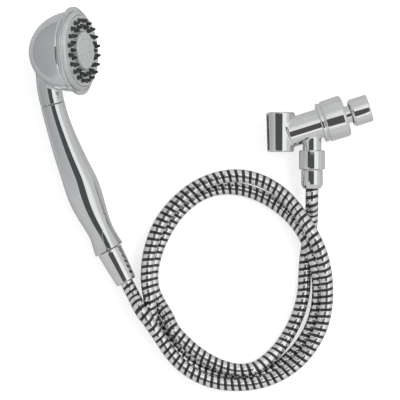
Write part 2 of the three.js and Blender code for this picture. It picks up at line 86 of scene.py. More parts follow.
swivel, dial = J["handset_swivel"], J["dial_turn"]
nut_axis = np.array(swivel["axis"], float)
head_dir = np.array(dial["axis"], float)
hand_z = np.cross(head_dir, nut_axis)
hand_z /= np.linalg.norm(hand_z)
dip = math.radians(6.3)
hand_x = head_dir * math.cos(dip) + np.cross(hand_z, head_dir) * math.sin(dip)
hand_y = np.cross(hand_z, hand_x)
HAND = Frame(swivel["pos_m"], hand_x, hand_y)           # x forwards, y up the handset
NUT = Frame(swivel["pos_m"], nut_axis, hand_z)          # x up the nut
HEAD = Frame(dial["pos_m"], head_dir, np.cross(hand_z, head_dir))  # x along the spray, y up the face
tube_dir = np.array(J["ball_turn"]["axis"], float)
TUBE = Frame(np.array(J["ball_turn"]["pos_m"]) - 0.030 * tube_dir, tube_dir, (0, 0, 1))
out_axis = np.array(J["bracket_swivel"]["axis"], float)
OUT = Frame(np.array(J["bracket_swivel"]["pos_m"]) - 0.030 * out_axis, out_axis, (0, 0, 1))
SHIFT = OUT.o / MM - np.array([112.0, 0.0, 22.0])       # from the drawing's millimetres to the row frame


# ---------------------------------------------------------------- materials
def tree(name):
    m = bpy.data.materials.new(name)
    m.use_nodes = True
    nt = m.node_tree
    bsdf = nt.nodes["Principled BSDF"]
    return m, nt, bsdf


def noise(nt, scale, detail=4, rough=0.5, vector=None):
    n = nt.nodes.new("ShaderNodeTexNoise")
    n.inputs["Scale"].default_value = scale
    n.inputs["Detail"].default_value = detail
    n.inputs["Roughness"].default_value = rough
    if vector is None:
        tc = nt.nodes.new("ShaderNodeTexCoord")
        vector = tc.outputs["Object"]
    nt.links.new(vector, n.inputs["Vector"])
    return n.outputs["Fac"]


def spread(nt, fac, lo, hi, a=0.3, b=0.7):
    r = nt.nodes.new("ShaderNodeMapRange")
    r.inputs["From Min"].default_value = a
    r.inputs["From Max"].default_value = b
    r.inputs["To Min"].default_value = lo
    r.inputs["To Max"].default_value = hi
    nt.links.new(fac, r.inputs["Value"])
    return r.outputs["Result"]


def mix_colour(nt, fac, a, b):
    m = nt.nodes.new("ShaderNodeMix")
    m.data_type = "RGBA"
    for i, c in ((6, a), (7, b)):
        if isinstance(c, tuple):
            m.inputs[i].default_value = (*c, 1)
        else:
            nt.links.new(c, m.inputs[i])
    if isinstance(fac, float):
        m.inputs[0].default_value = fac
    else:
        nt.links.new(fac, m.inputs[0])
    return m.outputs[2]


def bump(nt, bsdf, fac, strength, distance):
    b = nt.nodes.new("ShaderNodeBump")
    b.inputs["Strength"].default_value = strength
    b.inputs["Distance"].default_value = distance
    nt.links.new(fac, b.inputs["Height"])
    nt.links.new(b.outputs["Normal"], bsdf.inputs["Normal"])


def chrome(name, tint, rough, wave):
    """Plated mirror: faint waviness, water-spot haze, and rougher worn edges whose colour is painted lighter as an
    edge highlight.
    """
    m, nt, b = tree(name)
    b.inputs["Metallic"].default_value = 1.0
    haze = noise(nt, 55, 5, 0.6)
    spots = noise(nt, 420, 2, 0.5)
    both = nt.nodes.new("ShaderNodeMath")
    both.operation = "MULTIPLY"
    nt.links.new(haze, both.inputs[0])
    nt.links.new(spots, both.inputs[1])
    geo = nt.nodes.new("ShaderNodeNewGeometry")
    # convex edges: rougher from wear, and their colour painted a little lighter as a painted highlight
    edge_wear_and_highlight = spread(nt, geo.outputs["Pointiness"], 0.0, 1.0, 0.53, 0.60)
    base = mix_colour(nt, spread(nt, haze, 0.0, 1.0), tint, tuple(c * 0.94 for c in tint))
    col = mix_colour(nt, edge_wear_and_highlight, base, tuple(min(1.0, c * 1.04) for c in tint))
    nt.links.new(col, b.inputs["Base Color"])
    r = spread(nt, both.outputs[0], rough, rough * 2.0, 0.15, 0.42)
    add = nt.nodes.new("ShaderNodeMath")
    add.operation = "MULTIPLY_ADD"
    nt.links.new(edge_wear_and_highlight, add.inputs[0])
    add.inputs[1].default_value = 0.05
    nt.links.new(r, add.inputs[2])
    nt.links.new(add.outputs[0], b.inputs["Roughness"])
    bump(nt, b, noise(nt, 26, 1, 0.3), wave, 0.0008)
    return m


def plastic(name, a, b2, rough, metallic=0.0, grain=900, strength=0.12, sheen=0.0, coat=0.0, spec=0.5):
    m, nt, b = tree(name)
    n1 = noise(nt, 60, 5, 0.6)
    col = mix_colour(nt, spread(nt, n1, 0.0, 1.0), a, b2)
    nt.links.new(col, b.inputs["Base Color"])
    b.inputs["Metallic"].default_value = metallic
    nt.links.new(spread(nt, noise(nt, 220, 3), rough * 0.85, rough * 1.2), b.inputs["Roughness"])
    b.inputs["Coat Weight"].default_value = coat
    b.inputs["Coat Roughness"].default_value = 0.08
    b.inputs["Sheen Weight"].default_value = sheen
    b.inputs["Specular IOR Level"].default_value = spec
    bump(nt, b, noise(nt, grain, 3, 0.6), strength, 0.0002)
    return m


M = {
    "plated": chrome("plated_plastic", (0.80, 0.815, 0.825), 0.045, 0.05),
    "chrome": chrome("chrome_metal", (0.86, 0.87, 0.875), 0.03, 0.03),
    "face": plastic("pale_grey_plastic", (0.60, 0.62, 0.60), (0.54, 0.565, 0.545), 0.32, 0.35, 700, 0.10),
    "nozzle": plastic("dark_rubber", (0.030, 0.034, 0.034), (0.045, 0.05, 0.05), 0.45, 0.0, 1200, 0.35, 0.1),
    "rubber": plastic("black_rubber", (0.018, 0.018, 0.019), (0.03, 0.03, 0.03), 0.6, 0.0, 1200, 0.4, 0.1),
    "white": plastic("white_plastic", (0.80, 0.80, 0.77), (0.72, 0.72, 0.69), 0.4),
    "brass": plastic("brass", (0.70, 0.55, 0.26), (0.60, 0.46, 0.2), 0.22, 1.0, 500, 0.1),
    "steel": plastic("steel", (0.55, 0.56, 0.57), (0.45, 0.46, 0.47), 0.25, 1.0, 800, 0.15),
    "silver": plastic("hose_silver", (0.95, 0.955, 0.94), (0.86, 0.87, 0.855), 0.12, 0.92, 1500, 0.08, 0.0, 0.5),
    "stripe": plastic("hose_black", (0.010, 0.011, 0.011), (0.022, 0.023, 0.022), 0.30, 0.0, 1200, 0.10, 0.0, 0.45),
}


# ---------------------------------------------------------------- mesh helpers
def new_object(name, verts, faces, materials, normals=None, smooth_angle=35, mat_index=None):
    me = bpy.data.meshes.new(name)
    me.from_pydata([tuple(v) for v in verts], [], [tuple(int(i) for i in f) for f in faces])
    me.validate()
    for m in materials:
        me.materials.append(m)
    if mat_index is not None:
        me.polygons.foreach_set("material_index", np.asarray(mat_index, np.int32))
    me.polygons.foreach_set("use_smooth", np.ones(len(me.polygons), bool))
    o = bpy.data.objects.new(name, me)
    bpy.context.scene.collection.objects.link(o)
    if normals is not None:
        me.normals_split_custom_set_from_vertices([tuple(n) for n in normals])
    elif smooth_angle is not None:
        mark_sharp(me, smooth_angle)
    return o


def mark_sharp(me, angle):
    bm = bmesh.new()
    bm.from_mesh(me)
    bmesh.ops.recalc_face_normals(bm, faces=bm.faces)
    lim = math.radians(angle)
    for e in bm.edges:
        if len(e.link_faces) == 2:
            e.smooth = e.calc_face_angle(0) < lim
    bm.to_mesh(me)
    bm.free()


def rounded(points, closed=True, n=4):
    """A profile with rounded corners. Each point is (r, x) or (r, x, corner radius)."""
    pts = [np.array(p[:2], float) for p in points]
    rad = [(p[2] if len(p) > 2 else 0.0) for p in points]
    out = []
    N = len(pts)
    for i in range(N):
        p, r = pts[i], rad[i]
        if r <= 0 or (not closed and i in (0, N - 1)):
            out.append(p)
            continue
        a, b = pts[i - 1] - p, pts[(i + 1) % N] - p
        la, lb = np.linalg.norm(a), np.linalg.norm(b)
        ua, ub = a / la, b / lb
        half = math.acos(max(-1, min(1, ua @ ub))) / 2
        t = min(r / max(math.tan(half), 1e-6), la * 0.48, lb * 0.48)
        rr = t * math.tan(half)
        c = p + (ua + ub) / np.linalg.norm(ua + ub) * (rr / math.sin(half))
        s, e = p + ua * t - c, p + ub * t - c
        ang = math.acos(max(-1, min(1, (s @ e) / (np.linalg.norm(s) * np.linalg.norm(e)))))
        for k in range(n + 1):
            w = k / n
            if ang < 1e-6:
                v = s
            else:
                v = (math.sin((1 - w) * ang) * s + math.sin(w * ang) * e) / math.sin(ang)
            out.append(c + v)
    return out


def revolve(name, fr, profile, material, body, node=None, seg=96, closed=True, n=4, extra=None):
    """A turned piece: profile is [(radius, x), ...] in the frame's millimetres."""
    pts = rounded(profile, closed, n)
    verts, faces = lathe(fr, pts, seg, closed)
    if extra:
        for v2, f2 in extra:
            k = len(verts)
            verts = np.vstack([verts, v2])
            faces = faces + [[i + k for i in f] for f in f2]
    o = new_object(name, verts, faces, [material])
    done(o, body, node)
    return o


def lathe(fr, pts, seg, closed=True):
    verts, rows = [], []
    for r, x in pts:
        if r < 1e-6:
            rows.append([len(verts)] * seg)
            verts.append((x, 0, 0))
        else:
            rows.append(list(range(len(verts), len(verts) + seg)))
            for k in range(seg):
                a = 2 * math.pi * k / seg
                verts.append((x, r * math.cos(a), r * math.sin(a)))
    faces = []
    count = len(pts) if closed and pts[0][0] > 1e-6 else len(pts) - 1
    for i in range(count):
        A, B = rows[i], rows[(i + 1) % len(pts)]
        for k in range(seg):
            k2 = (k + 1) % seg
            f = []
            for v in (A[k], A[k2], B[k2], B[k]):
                if v not in f:
                    f.append(v)
            if len(f) > 2:
                faces.append(f)
    return fr.world(np.array(verts)), faces


def done(o, body, node=None):
    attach(o, body)
    if node:
        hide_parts(*([node] if isinstance(node, str) else node))
    return o


# ---------------------------------------------------------------- smooth solids from distance fields
def surface(f, lo, hi, h):
    """Closed quad mesh of f = 0 (surface nets), then pulled onto the field's zero. All in millimetres."""
    ax = [np.arange(lo[k], hi[k] + h, h) for k in range(3)]
    shape = tuple(len(a) for a in ax)
    F = np.empty(shape, np.float32)
    for i in range(shape[0]):
        yy, zz = np.meshgrid(ax[1], ax[2], indexing="ij")
        p = np.stack([np.full(yy.shape, ax[0][i]), yy, zz], -1).reshape(-1, 3)
        F[i] = f(p).reshape(shape[1], shape[2])
    S = F < 0
    c = [(i, j, k) for i in (0, 1) for j in (0, 1) for k in (0, 1)]

    def sub(A, d):
        return A[d[0]: A.shape[0] - 1 + d[0], d[1]: A.shape[1] - 1 + d[1], d[2]: A.shape[2] - 1 + d[2]]

    any_, all_ = np.zeros(tuple(n - 1 for n in shape), bool), np.ones(tuple(n - 1 for n in shape), bool)
    for d in c:
        s = sub(S, d)
        any_ |= s
        all_ &= s
    cell = any_ & ~all_
    ids = -np.ones(cell.shape, np.int64)
    idx = np.argwhere(cell)
    ids[cell] = np.arange(len(idx))
    acc, cnt = np.zeros((len(idx), 3)), np.zeros(len(idx))
    for a in c:
        for k in range(3):
            if a[k]:
                continue
            b = list(a)
            b[k] = 1
            fa = F[idx[:, 0] + a[0], idx[:, 1] + a[1], idx[:, 2] + a[2]].astype(float)
            fb = F[idx[:, 0] + b[0], idx[:, 1] + b[1], idx[:, 2] + b[2]].astype(float)
            hit = (fa < 0) != (fb < 0)
            t = np.where(hit, fa / np.where(hit, fa - fb, 1), 0)
            p = np.tile(np.array(a, float), (len(idx), 1))
            p[:, k] = t
            acc[hit] += p[hit]
            cnt[hit] += 1
    V = (idx + acc / cnt[:, None]) * h + np.array([a[0] for a in ax])
    faces = []
    for k in range(3):
        sl0 = [slice(None)] * 3
        sl1 = [slice(None)] * 3
        sl0[k] = slice(0, -1)
        sl1[k] = slice(1, None)
        s0, s1 = S[tuple(sl0)], S[tuple(sl1)]
        e = np.argwhere(s0 != s1)
        u, v = (k + 1) % 3, (k + 2) % 3
        e = e[(e[:, u] > 0) & (e[:, v] > 0) & (e[:, u] < shape[u] - 1) & (e[:, v] < shape[v] - 1)]
        inside = s0[e[:, 0], e[:, 1], e[:, 2]]
        q = []
        for du, dv in ((-1, -1), (0, -1), (0, 0), (-1, 0)):
            w = e.copy()
            w[:, u] += du
            w[:, v] += dv
            q.append(ids[w[:, 0], w[:, 1], w[:, 2]])
        q = np.stack(q, 1)
        q[~inside] = q[~inside][:, ::-1]
        faces.append(q)
    faces = np.vstack(faces)

    def grad(p, e=0.02):
        g = np.empty_like(p)
        for k in range(3):
            d = np.zeros(3)
            d[k] = e
            g[:, k] = (f(p + d) - f(p - d)) / (2 * e)
        return g

    for _ in range(4):
        g = grad(V)
        step = (f(V) / np.maximum((g * g).sum(1), 0.05))[:, None] * g
        V -= np.clip(step, -h * 0.4, h * 0.4)
    g = grad(V, 0.05)
    N = g / np.maximum(np.linalg.norm(g, axis=1), 1e-9)[:, None]
    return V, faces, N


def field_piece(name, fr, f, lo, hi, h, material, body, node):
    V, faces, N = surface(f, lo, hi, h)
    o = new_object(name, fr.world(V), faces.tolist(), [material], normals=N @ fr.m.T)
    return done(o, body, node)


def cyl(p, a, b, r, rnd=0.0):
    """Capped cylinder from a to b with rounded rims."""
    a, b = np.array(a, float), np.array(b, float)
    d = b - a
    L = np.linalg.norm(d)
    d = d / L
    q = p - (a + b) / 2
    t = q @ d
    rho = np.linalg.norm(q - t[:, None] * d, axis=1)
    x, y = rho - (r - rnd), np.abs(t) - (L / 2 - rnd)
    return np.minimum(np.maximum(x, y), 0) + np.hypot(np.maximum(x, 0), np.maximum(y, 0)) - rnd


def box_d(p, c, half, rot=None, rnd=0.0):
    q = p - np.array(c, float)
    if rot is not None:
        q = q @ np.array(rot)
    q = np.abs(q) - (np.array(half, float) - rnd)
    return np.minimum(q.max(1), 0) + np.linalg.norm(np.maximum(q, 0), axis=1) - rnd


def join(a, b, k):
    h = np.clip(0.5 + 0.5 * (b - a) / k, 0, 1)
    return b * (1 - h) + a * h - k * h * (1 - h)


def cut(a, b, k):
    """a without b, with the rim rounded by about k."""
    h = np.clip(0.5 - 0.5 * (a + b) / k, 0, 1)
    return a * (1 - h) + (-b) * h + k * h * (1 - h)


def spline(points, n):
    """Dense natural samples through points (any number of columns), by centripetal Catmull-Rom."""
    P = np.array(points, float)
    P = np.vstack([2 * P[0] - P[1], P, 2 * P[-1] - P[-2]])
    out = []
    for i in range(1, len(P) - 2):
        p0, p1, p2, p3 = P[i - 1], P[i], P[i + 1], P[i + 2]
        t0 = 0.0
        t1 = t0 + np.linalg.norm(p1 - p0) ** 0.5
        t2 = t1 + np.linalg.norm(p2 - p1) ** 0.5
        t3 = t2 + np.linalg.norm(p3 - p2) ** 0.5
        t = np.linspace(t1, t2, n, endpoint=False)[:, None]
        A1 = (t1 - t) / (t1 - t0) * p0 + (t - t0) / (t1 - t0) * p1
        A2 = (t2 - t) / (t2 - t1) * p1 + (t - t1) / (t2 - t1) * p2
        A3 = (t3 - t) / (t3 - t2) * p2 + (t - t2) / (t3 - t2) * p3
        B1 = (t2 - t) / (t2 - t0) * A1 + (t - t0) / (t2 - t0) * A2
        B2 = (t3 - t) / (t3 - t1) * A2 + (t - t1) / (t3 - t1) * A3
        out.append((t2 - t) / (t2 - t1) * B1 + (t - t1) / (t2 - t1) * B2)
    out.append(P[-2][None])
    return np.vstack(out)


# ---------------------------------------------------------------- hose
PITCH = 6.95            # one turn of the stripe
STEP = PITCH / 14
HOSE_POINTS = [
    (-73.6, -82.1, 18.0), (-66.2, -96.1, 20.5), (-59.0, -110.2, 27.2), (-49.4, -123.4, 26.2), (-40.5, -136.6, 22.5),
    (-31.7, -150.0, 21.3), (-21.4, -162.2, 21.0), (-8.9, -172.0, 21.0), (5.3, -179.2, 21.0), (20.7, -183.4, 21.0),
    (36.6, -184.6, 21.0), (52.6, -183.5, 21.0), (68.1, -179.6, 21.0), (82.6, -173.1, 21.0), (95.7, -164.0, 21.0),
    (106.8, -152.5, 21.0), (115.7, -139.2, 21.0), (122.1, -124.6, 21.1), (125.6, -109.1, 21.5), (126.7, -93.2, 22.9),
    (125.8, -77.4, 25.8), (123.1, -62.2, 30.0), (118.3, -47.3, 33.0), (111.4, -32.9, 32.7), (103.2, -19.6, 29.6),
    (94.6, -7.1, 25.6), (84.2, 4.3, 22.6), (71.5, 13.9, 21.3), (57.0, 20.7, 21.0), (41.5, 24.1, 21.0),
    (25.6, 23.6, 21.0), (10.1, 19.6, 21.0), (-4.3, 12.8, 21.0), (-17.2, 3.4, 21.0), (-28.5, -7.9, 21.0),
    (-38.1, -20.7, 21.0), (-45.1, -35.0, 21.0), (-49.9, -50.3, 21.0), (-52.4, -66.0, 21.0), (-52.7, -82.0, 21.0),
    (-50.5, -97.7, 20.2), (-48.7, -113.1, 15.5), (-42.4, -126.9, 9.3), (-33.0, -139.6, 7.3), (-23.3, -152.2, 7.2),
    (-11.6, -163.0, 7.2), (2.4, -170.7, 7.2), (17.6, -175.4, 7.2), (33.4, -177.5, 7.2), (49.5, -177.3, 7.2),
    (65.3, -174.1, 7.2), (79.7, -166.9, 7.2), (91.8, -156.4, 7.2), (102.2, -144.2, 7.2), (110.3, -130.4, 7.2),
    (115.8, -115.5, 7.2), (118.6, -99.8, 8.1), (118.7, -84.1, 11.0), (116.9, -68.8, 15.7), (112.8, -53.9, 20.2),
    (106.3, -39.2, 21.0), (98.5, -26.1, 15.9), (88.8, -14.9, 10.5), (76.6, -4.8, 7.9), (62.9, 3.3, 7.2),
    (48.0, 9.1, 7.2), (32.3, 11.9, 7.2), (16.4, 10.9, 7.2), (1.4, 5.7, 7.2), (-11.9, -3.1, 7.2),
    (-23.2, -14.4, 7.2), (-32.3, -27.5, 7.2), (-39.6, -41.7, 7.2), (-45.1, -56.8, 7.2), (-48.0, -72.5, 7.2),
    (-47.2, -88.3, 7.2), (-41.3, -102.3, 7.2), (-33.3, -115.5, 12.4), (-26.5, -129.3, 17.4), (-16.0, -141.2, 18.7),
    (-3.9, -151.7, 19.0), (9.4, -160.5, 19.1), (24.0, -167.0, 19.1), (39.4, -170.1, 19.2), (54.2, -168.2, 18.5),
    (66.9, -160.7, 14.8), (78.2, -150.0, 9.9), (87.5, -137.2, 7.6), (95.1, -123.1, 7.2), (100.7, -108.2, 7.2),
    (104.0, -92.5, 7.2), (105.1, -76.6, 7.2), (106.1, -60.6, 7.2), (108.4, -44.7, 7.2), (111.0, -28.9, 7.6),
    (112.0, -13.5, 12.0), (111.9, -0.1, 20.5), (112.0, 11.4, 22.0),
]
hose_start = (HAND.o / MM - SHIFT) + 9 * NUT.x
hose_line = spline([tuple(hose_start)] + HOSE_POINTS + [(112.0, 26.0, 22.0)], 40) + SHIFT


def even(line, step):
    seg = np.linalg.norm(np.diff(line, axis=0), axis=1)
    s = np.r_[0, np.cumsum(seg)]
    n = int(s[-1] / step)
    t = np.linspace(0, s[-1], n + 1)
    return np.c_[[np.interp(t, s, line[:, k]) for k in range(3)]].T, s[-1]


def carried_frames(line):
    t = np.gradient(line, axis=0)
    t /= np.linalg.norm(t, axis=1)[:, None]
    n = np.zeros_like(line)
    v = np.cross(t[0], (0, 0, 1))
    n[0] = v / np.linalg.norm(v)
    for i in range(1, len(line)):
        v = n[i - 1] - t[i] * (n[i - 1] @ t[i])
        n[i] = v / np.linalg.norm(v)
    return t, n, np.cross(t, n)


def build_hose():
    line, L = even(hose_line, STEP)
    t, n, b = carried_frames(line)
    S = np.linspace(0, L, len(line))
    sides, turn = 28, 14
    rows = len(line) + turn
    s = (np.arange(rows)[:, None] - turn + turn * np.arange(sides)[None, :] / sides) * STEP
    s = np.clip(s, 0, L).ravel()

    def at(A):
        return np.c_[[np.interp(s, S, A[:, k]) for k in range(3)]].T

    j = np.tile((np.arange(rows) % turn)[:, None], (1, sides)).ravel()
    # 0..6 is the black band, lying a little lower than the rounded silver rib
    height = np.array([0.0, -0.06, -0.09, -0.10, -0.09, -0.06, 0.0, 0.055, 0.09, 0.105, 0.11, 0.105, 0.09, 0.055])
    r = 6.52 + height[j]
    a = np.tile(2 * math.pi * np.arange(sides) / sides, rows)
    V = at(line) + (r * np.cos(a))[:, None] * at(n) + (r * np.sin(a))[:, None] * at(b)
    faces, mats = [], []
    for i in range(rows - 1):
        for k in range(sides):
            if k < sides - 1:
                q = (i * sides + k, i * sides + k + 1, (i + 1) * sides + k + 1, (i + 1) * sides + k)
            else:
                if i + 1 + turn >= rows:
                    continue
                q = (i * sides + k, (i + turn) * sides, (i + 1 + turn) * sides, (i + 1) * sides + k)
            faces.append(q)
            mats.append(1 if i % turn < 6 else 0)
    V = V * MM
    F = np.array(faces)
    area = np.linalg.norm(np.cross(V[F[:, 2]] - V[F[:, 0]], V[F[:, 3]] - V[F[:, 1]]), axis=1)
    keep = area > 1e-12
    o = new_object("hose_outer", V, F[keep].tolist(), [M["silver"], M["stripe"]], smooth_angle=None,
                   mat_index=np.array(mats)[keep])
    bm = bmesh.new()
    bm.from_mesh(o.data)
    loose = [v for v in bm.verts if not v.link_faces]
    bmesh.ops.delete(bm, geom=loose, context="VERTS")
    bmesh.ops.remove_doubles(bm, verts=bm.verts, dist=2e-6)
    bmesh.ops.holes_fill(bm, edges=[e for e in bm.edges if e.is_boundary], sides=200)
    bmesh.ops.recalc_face_normals(bm, faces=bm.faces)
    bm.to_mesh(o.data)
    bm.free()
    done(o, "hose", "hose_jacket")


build_hose()

# ---------------------------------------------------------------- handset
revolve("hose_nut_handle_turned", NUT, [
    (7.3, 0.1), (9.2, 0.1, 0.5), (10.35, 1.0, 0.9), (11.9, 22.0), (12.55, 33.6, 0.9), (12.85, 34.5, 0.4), (12.85, 35.7, 0.6), (12.1, 36.1, 0.4),
    (10.6, 36.1), (10.6, 20), (7.3, 20)], M["chrome"], "handset", "hose_nut_handle", n=5)

FOOT_Y = 36.55
HANDLE = [(-13.2, 46.8, 13.6), (-15.0, 54.5, 13.0), (-18.1, 66.5, 14.2), (-21.0, 79.3, 16.0), (-23.1, 92.0, 17.3),
          (-24.8, 104.7, 17.3), (-27.1, 117.4, 16.2), (-29.5, 130.2, 15.2), (-31.6, 142.9, 14.3), (-33.6, 158.0, 13.2),
          (-34.8, 170.0, 12.5), (-35.6, 181.0, 12.2), (-35.76, 189.4, 12.1)]
NECK = [(-35.78, 190.0, 12.1), (-35.85, 196.0, 12.1), (-35.3, 206.0, 12.2), (-33.8, 216.0, 12.4), (-31.0, 228.0, 12.6)]


def smooth_rows(A, times):
    A = np.array(A, float)
    for _ in range(times):
        B = A.copy()
        B[1:-1] = 0.25 * A[:-2] + 0.5 * A[1:-1] + 0.25 * A[2:]
        A = B
    return A


def build_grip():
    lean = math.radians(16.7)
    foot = np.array([-math.sin(lean), math.cos(lean)])
    pts = [(*(foot * (FOOT_Y + d)), r) for d, r in ((0, 15.15), (2.4, 15.0))] + HANDLE
    D = spline(pts, 24)
    D = smooth_rows(D, 60)
    c = D[:, :2]
    t = np.gradient(c, axis=0)
    t /= np.linalg.norm(t, axis=1)[:, None]
    # the foot's end face is square to the nut
    w = np.clip(1 - np.linalg.norm(c - c[0], axis=1) / 9.0, 0, 1)[:, None]
    t = foot * w + t * (1 - w)
    t /= np.linalg.norm(t, axis=1)[:, None]
    rings = [(c[0] + t[0] * d, t[0], r) for d, r in
             ((4.0, 10.9), (0.35, 10.9), (0.1, 11.1), (0.0, 11.5), (0.0, 14.2), (0.12, 14.75), (0.38, 15.05))]
    rings += [(c[i] + t[i] * 0.0, t[i], D[i, 2]) for i in range(3, len(D) - 2)]
    e, te, re = c[-1], t[-1], D[-1, 2]
    rings += [(e - te * 0.55, te, re - 0.0), (e - te * 0.3, te, re - 0.1), (e - te * 0.1, te, re - 0.35), (e, te, re - 0.8), (e, te, re - 2.2), (e - te * 3, te, re - 2.4)]
    seg = 112
    V, F = [], []
    for c_, t_, r_ in rings:
        n_ = np.array([-t_[1], t_[0]])
        for k in range(seg):
            a = 2 * math.pi * k / seg
            V.append((*(c_ + n_ * r_ * math.cos(a)), r_ * math.sin(a)))
    for i in range(len(rings) - 1):
        for k in range(seg):
            k2 = (k + 1) % seg
            F.append((i * seg + k, i * seg + k2, (i + 1) * seg + k2, (i + 1) * seg + k))
    F.append(tuple(range(seg)))
    F.append(tuple((len(rings) - 1) * seg + k for k in range(seg)))
    o = new_object("handle_grip_casing", HAND.world(np.array(V)), F, [M["plated"]])
    done(o, "handset", "handle_grip")


build_grip()

HC = (1.3, 236.8, 0.0)
c9, s9 = math.cos(dip), math.sin(dip)
nl = np.array(NECK)


def shell_field(p):
    q = p - np.array(HC)
    hx = q[:, 0] * c9 - q[:, 1] * s9      # along the spray
    hy = q[:, 0] * s9 + q[:, 1] * c9
    hz = q[:, 2]
    rr = np.hypot(hy, hz)
    e = np.array([46.4, 40.0])
    k0 = np.sqrt((hx / e[0]) ** 2 + (rr / e[1]) ** 2)
    k1 = np.sqrt((hx / e[0] ** 2) ** 2 + (rr / e[1] ** 2) ** 2)
    ell = k0 * (k0 - 1) / np.maximum(k1, 1e-6)
    y = p[:, 1]
    cx = np.interp(y, nl[:, 1], nl[:, 0])
    # the neck fades into the dome, with a widening root
    rn = np.interp(y, nl[:, 1], nl[:, 2])
    neck = np.hypot(p[:, 0] - cx, p[:, 2]) - rn
    neck = np.maximum(neck, y - 236)
    d = join(ell, neck, 4.0)
    # square ends: the neck's parting face and the dial side
    d = np.maximum(d, 190.0 - y)
    rim = np.maximum(d, hx + 0.0)
    r = 3.0
    x1, y1 = d + r, hx + r
    rim = np.minimum(np.maximum(x1, y1), 0) + np.hypot(np.maximum(x1, 0), np.maximum(y1, 0)) - r
    inner = np.maximum(rr - 37.6, -5.2 - hx)
    return np.maximum(rim, -inner)


field_piece("head_shell_dome", HAND, shell_field, (-64, 184, -44), (14, 284, 44), 0.9,
            M["plated"], "handset", "head_shell")

# ---------------------------------------------------------------- spray dial
def build_bezel():
    prof = rounded([(38.1, 0.4), (40.4, 0.4, 0.25), (41.25, 1.0, 0.5), (41.3, 4.35, 0.35), (40.9, 4.85, 0.25), (40.25, 4.85, 0.15), (40.2, 4.0), (38.1, 4.0)], True, 5)
    seg = 240
    V, F = [], []
    for r, x in prof:
        for k in range(seg):
            a = 2 * math.pi * k / seg
            re = 1 / math.sqrt((math.cos(a) / 44.1) ** 2 + (math.sin(a) / 34.0) ** 2)
            h = re - 41.3
            lift = 0.5 * (h + math.sqrt(h * h + 0.25))
            w = min(1.0, max(0.0, (r - 40.26) / 0.55))
            V.append((x, (r + lift * w) * math.cos(a), (r + lift * w) * math.sin(a)))
    n = len(prof)
    for i in range(n):
        for k in range(seg):
            k2 = (k + 1) % seg
            F.append((i * seg + k, i * seg + k2, ((i + 1) % n) * seg + k2, ((i + 1) % n) * seg + k))
    o = new_object("dial_bezel_ring", HEAD.world(np.array(V)), F, [M["plated"]], smooth_angle=40)
    done(o, "spray_dial", "dial_bezel")


build_bezel()


def flat_plate(name, fr, circles, x0, x1, bevel, material, body, node, res=10):
    """A plate between x0 and x1 cut from circles (y, z, radius), the first one its rim and the others holes."""
    cu = bpy.data.curves.new(name + "_c", "CURVE")
    cu.dimensions = "2D"
    cu.fill_mode = "BOTH"
    for i, (y, z, r) in enumerate(circles):
        n = 96 if r > 12 else (24 if r > 1 else 12)
        r = r - bevel if i == 0 else r + bevel
        sp = cu.splines.new("POLY")
        sp.points.add(n - 1)
        for k in range(n):
            a = 2 * math.pi * k / n
            sp.points[k].co = ((y + r * math.cos(a)) * MM, (z + r * math.sin(a)) * MM, 0, 1)
        sp.use_cyclic_u = True
    cu.extrude = ((x1 - x0) / 2 - bevel) * MM
    cu.bevel_depth = bevel * MM
    cu.bevel_resolution = 2
    tmp = bpy.data.objects.new(name + "_t", cu)
    bpy.context.scene.collection.objects.link(tmp)
    dg = bpy.context.evaluated_depsgraph_get()
    me = bpy.data.meshes.new_from_object(tmp.evaluated_get(dg))
    bpy.data.objects.remove(tmp)
    co = np.empty(len(me.vertices) * 3)
    me.vertices.foreach_get("co", co)
    co = co.reshape(-1, 3) / MM
    loc = np.c_[co[:, 2] + (x0 + x1) / 2, co[:, 0], co[:, 1]]
    me.vertices.foreach_set("co", fr.world(loc).ravel())
    me.materials.clear()
    me.materials.append(material)
    bm = bmesh.new()
    bm.from_mesh(me)
    bmesh.ops.remove_doubles(bm, verts=bm.verts, dist=1e-6)
    bmesh.ops.recalc_face_normals(bm, faces=bm.faces)
    for e in bm.edges:
        if len(e.link_faces) == 2:
            e.smooth = e.calc_face_angle(0) < math.radians(35)
    bm.to_mesh(me)
    bm.free()
    me.polygons.foreach_set("use_smooth", np.ones(len(me.polygons), bool))
    me.update()
    o = bpy.data.objects.new(name, me)
    bpy.context.scene.collection.objects.link(o)
    return done(o, body, node)


RINGS = ((30.2, 20, 0.0), (24.2, 20, 9.0))
SPOTS = [(r * math.cos(math.radians(f + 360 * k / n)), r * math.sin(math.radians(f + 360 * k / n))) for r, n, f in RINGS for k in range(n)]
flat_plate("face_plate_ring", HEAD, [(0, 0, 35.3), (0, 0, 19.5)] + [(y, z, 2.4) for y, z in SPOTS], 7.0, 9.0, 0.22,
           M["face"], "spray_dial", "face_plate")
revolve("face_plate_border", HEAD, [
    (35.8, 6.0), (35.8, 8.75, 0.2), (36.6, 8.45, 0.5), (38.2, 7.0, 3.0), (39.0, 5.5, 0.8), (39.55, 5.0, 0.2), (39.55, 4.4), (36.6, 4.4)],
    M["face"], "spray_dial", "face_plate", n=5, seg=160)


